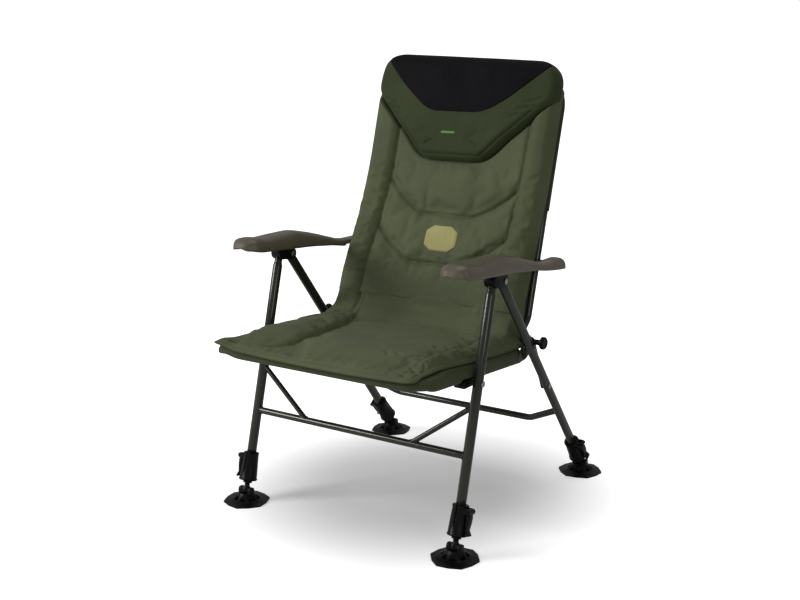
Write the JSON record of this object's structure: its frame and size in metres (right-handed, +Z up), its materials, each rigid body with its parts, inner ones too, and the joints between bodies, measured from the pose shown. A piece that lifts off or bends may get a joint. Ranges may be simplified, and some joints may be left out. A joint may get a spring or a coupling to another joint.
{
  "type": "folding chair",
  "caption": "Folding padded chair with a reclining back, moulded armrests, and extending legs with cam-lever clamps and swivelling mud feet.",
  "frame": {"origin": "on the ground under the middle of the chair's length and width", "axes": "+X to the right of somebody sitting in it as seen from the front, +Y from front to back, +Z up"},
  "size_m": [0.6764, 0.7685, 1.028],
  "materials": {
    "steel_tube": "satin dark grey-green powder coat",
    "black_plastic": "moulded, fine grain",
    "bright_steel": "zinc plated",
    "arm_plastic": "moulded, dull grey-brown",
    "olive_cloth": "woven polyester",
    "pale_olive_cloth": "padded woven polyester",
    "black_cloth": "woven polyester"
  },
  "bodies": {
    "front_frame": {"front_cross_bar": "steel_tube", "front_leg_right": "steel_tube", "front_leg_left": "steel_tube", "front_brace_right": "steel_tube", "front_brace_left": "steel_tube", "top_bracket_right": "black_plastic", "top_bracket_left": "black_plastic", "front_clamp_right": "black_plastic", "front_clamp_left": "black_plastic", "seat_pin_right": "bright_steel", "seat_pin_left": "bright_steel", "bracket_pin_right": "bright_steel", "bracket_pin_left": "bright_steel"},
    "rear_frame": {"rear_cross_bar": "steel_tube", "rear_leg_right": "steel_tube", "rear_leg_left": "steel_tube", "rear_clamp_right": "black_plastic", "rear_clamp_left": "black_plastic", "link_pin_right": "bright_steel", "link_pin_left": "bright_steel"},
    "seat": {"seat_frame": "steel_tube", "seat_cover": "olive_cloth", "seat_cushion": "pale_olive_cloth", "seat_plate_right": "steel_tube", "seat_plate_left": "steel_tube", "seat_clip_right": "black_plastic", "seat_clip_left": "black_plastic"},
    "links": {"link_right": "black_plastic", "link_left": "black_plastic"},
    "recliner": {"pivot_disc_right": "bright_steel", "pivot_disc_left": "bright_steel"},
    "back": {"back_frame": "steel_tube", "back_cover": "olive_cloth", "back_cushion": "pale_olive_cloth", "head_pillow": "olive_cloth", "head_panel": "black_cloth", "arm_guide_pin_right": "black_plastic", "arm_guide_pin_left": "black_plastic"},
    "arm_pivots": {"arm_pin_right": "bright_steel", "arm_pin_left": "bright_steel"},
    "armrests": {"armrest_right": "arm_plastic", "armrest_left": "arm_plastic"},
    "knob_right": {"clamp_knob_right": "black_plastic"},
    "knob_left": {"clamp_knob_left": "black_plastic"},
    "front_inner_right": {"front_inner_leg_right": "black_plastic"},
    "front_lever_body_right": {"front_lever_right": "black_plastic"},
    "front_foot_body_right": {"front_foot_right": "black_plastic"},
    "front_inner_left": {"front_inner_leg_left": "black_plastic"},
    "front_lever_body_left": {"front_lever_left": "black_plastic"},
    "front_foot_body_left": {"front_foot_left": "black_plastic"},
    "rear_inner_right": {"rear_inner_leg_right": "black_plastic"},
    "rear_lever_body_right": {"rear_lever_right": "black_plastic"},
    "rear_foot_body_right": {"rear_foot_right": "black_plastic"},
    "rear_inner_left": {"rear_inner_leg_left": "black_plastic"},
    "rear_lever_body_left": {"rear_lever_left": "black_plastic"},
    "rear_foot_body_left": {"rear_foot_left": "black_plastic"}
  },
  "joints": [
    {"name": "leg_fold", "type": "hinge", "parent": "front_frame", "child": "rear_frame", "pos_m": [0, -0.102, 0.566], "axis": [-1, 0, 0], "range_deg": [0, 42], "deforming": ["seat_cushion", "back_cushion"]},
    {"name": "seat_fold", "type": "hinge", "parent": "front_frame", "child": "seat", "pos_m": [0, -0.19089, 0.362], "axis": [-1, 0, 0], "range_deg": [0, 48.3]},
    {"name": "link_fold", "type": "hinge", "parent": "rear_frame", "child": "links", "pos_m": [0, 0.13231, 0.275], "axis": [-1, 0, 0], "range_deg": [0, 78.4]},
    {"name": "back_follow", "type": "hinge", "parent": "seat", "child": "recliner", "pos_m": [0, 0.074, 0.392], "axis": [1, 0, 0], "range_deg": [0, 60]},
    {"name": "arm_follow", "type": "hinge", "parent": "front_frame", "child": "arm_pivots", "pos_m": [0, -0.132, 0.592], "axis": [-1, 0, 0], "range_deg": [0, 43.8]},
    {"name": "recline", "type": "hinge", "parent": "recliner", "child": "back", "pos_m": [0, 0.074, 0.392], "axis": [-1, 0, 0], "range_deg": [0, 10]},
    {"name": "arm_tilt", "type": "hinge", "parent": "arm_pivots", "child": "armrests", "pos_m": [0, -0.132, 0.592], "axis": [-1, 0, 0], "range_deg": [0, 2.3]},
    {"name": "knob_right_turn", "type": "hinge", "parent": "recliner", "child": "knob_right", "pos_m": [0.29, 0.074, 0.392], "axis": [1, 0, 0], "continuous": true},
    {"name": "knob_left_turn", "type": "hinge", "parent": "recliner", "child": "knob_left", "pos_m": [-0.29, 0.074, 0.392], "axis": [-1, 0, 0], "continuous": true},
    {"name": "front_leg_right_slide", "type": "slide", "parent": "front_frame", "child": "front_inner_right", "axis": [0, -0.2517, -0.9678], "range_m": [0, 0.1]},
    {"name": "front_lever_right_flip", "type": "hinge", "parent": "front_frame", "child": "front_lever_body_right", "pos_m": [0.30998, -0.25812, 0.10346], "axis": [0, -0.9678, 0.2517], "range_deg": [0, 110]},
    {"name": "front_foot_right_tilt", "type": "hinge", "parent": "front_inner_right", "child": "front_foot_body_right", "pos_m": [0.286, -0.278, 0.027], "axis": [1, 0, 0], "range_deg": [-20, 20]},
    {"name": "front_leg_left_slide", "type": "slide", "parent": "front_frame", "child": "front_inner_left", "axis": [0, -0.2517, -0.9678], "range_m": [0, 0.1]},
    {"name": "front_lever_left_flip", "type": "hinge", "parent": "front_frame", "child": "front_lever_body_left", "pos_m": [-0.30998, -0.25812, 0.10346], "axis": [0, 0.9678, -0.2517], "range_deg": [0, 110]},
    {"name": "front_foot_left_tilt", "type": "hinge", "parent": "front_inner_left", "child": "front_foot_body_left", "pos_m": [-0.286, -0.278, 0.027], "axis": [1, 0, 0], "range_deg": [-20, 20]},
    {"name": "rear_leg_right_slide", "type": "slide", "parent": "rear_frame", "child": "rear_inner_right", "axis": [0, 0.6272, -0.7789], "range_m": [0, 0.1]},
    {"name": "rear_lever_right_flip", "type": "hinge", "parent": "rear_frame", "child": "rear_lever_body_right", "pos_m": [0.30998, 0.28245, 0.08853], "axis": [0, -0.7789, -0.6272], "range_deg": [0, 110]},
    {"name": "rear_foot_right_tilt", "type": "hinge", "parent": "rear_inner_right", "child": "rear_foot_body_right", "pos_m": [0.286, 0.332, 0.027], "axis": [1, 0, 0], "range_deg": [-18, 18]},
    {"name": "rear_leg_left_slide", "type": "slide", "parent": "rear_frame", "child": "rear_inner_left", "axis": [0, 0.6272, -0.7789], "range_m": [0, 0.1]},
    {"name": "rear_lever_left_flip", "type": "hinge", "parent": "rear_frame", "child": "rear_lever_body_left", "pos_m": [-0.30998, 0.28245, 0.08853], "axis": [0, 0.7789, 0.6272], "range_deg": [0, 110]},
    {"name": "rear_foot_left_tilt", "type": "hinge", "parent": "rear_inner_left", "child": "rear_foot_body_left", "pos_m": [-0.286, 0.332, 0.027], "axis": [1, 0, 0], "range_deg": [-18, 18]}
  ],
  "couplings": [
    {"joint": "seat_fold", "follows": "leg_fold", "ratio": 1.149},
    {"joint": "link_fold", "follows": "leg_fold", "ratio": 1.864},
    {"joint": "back_follow", "follows": "leg_fold", "ratio": 1.428},
    {"joint": "arm_follow", "follows": "leg_fold", "ratio": 1.0417},
    {"joint": "arm_tilt", "follows": "recline", "ratio": 0.22}
  ]
}
